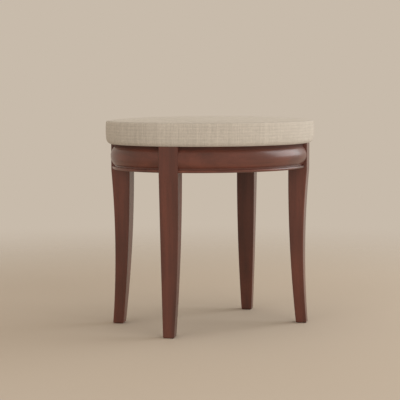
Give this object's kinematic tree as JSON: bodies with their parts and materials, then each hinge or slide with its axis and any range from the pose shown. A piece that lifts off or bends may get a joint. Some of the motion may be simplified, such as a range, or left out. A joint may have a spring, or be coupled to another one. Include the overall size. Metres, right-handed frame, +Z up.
{
  "type": "vanity stool",
  "caption": "Oval upholstered vanity stool: a linen-covered pad seat on a curved, moulded wooden apron carried by tapered sabre legs at the corners.",
  "frame": {"origin": "on the floor, under the middle of the seat (bottom centre of the overall box)", "axes": "+X along the seat's longer axis, +Y along its shorter axis, +Z up from the floor to the seat"},
  "size_m": [0.484, 0.4058, 0.4625],
  "materials": {
    "mahogany": "dark red-brown stained mahogany, satin lacquer",
    "mahogany_bead": "same stain as the frame, rubbed slightly lighter along the bead",
    "block_wood": "unfinished planed hardwood",
    "dowel_wood": "fluted beech, unfinished",
    "plywood": "sawn birch plywood",
    "screw_steel": "zinc-plated steel",
    "staple_wire": "galvanised wire",
    "foam": "open-cell foam",
    "wadding": "soft polyester wadding",
    "linen": "plain-weave oatmeal linen with slubs",
    "black_cloth": "thin non-woven cloth"
  },
  "bodies": {
    "root": {"leg_front_left": "mahogany", "leg_front_right": "mahogany", "leg_back_left": "mahogany", "leg_back_right": "mahogany", "rail_front": "mahogany", "rail_back": "mahogany", "rail_left": "mahogany", "rail_right": "mahogany", "bead_front": "mahogany_bead", "bead_back": "mahogany_bead", "bead_left": "mahogany_bead", "bead_right": "mahogany_bead", "corner_block_front_left": "block_wood", "corner_block_front_right": "block_wood", "corner_block_back_left": "block_wood", "corner_block_back_right": "block_wood", "rail_dowels": "dowel_wood", "block_screws": "screw_steel", "seat_screws": "screw_steel", "seat_staples": "staple_wire", "seat_board": "plywood", "seat_foam": "foam", "seat_wadding": "wadding", "seat_cover": "linen", "seat_dust_cover": "black_cloth"}
  },
  "joints": []
}
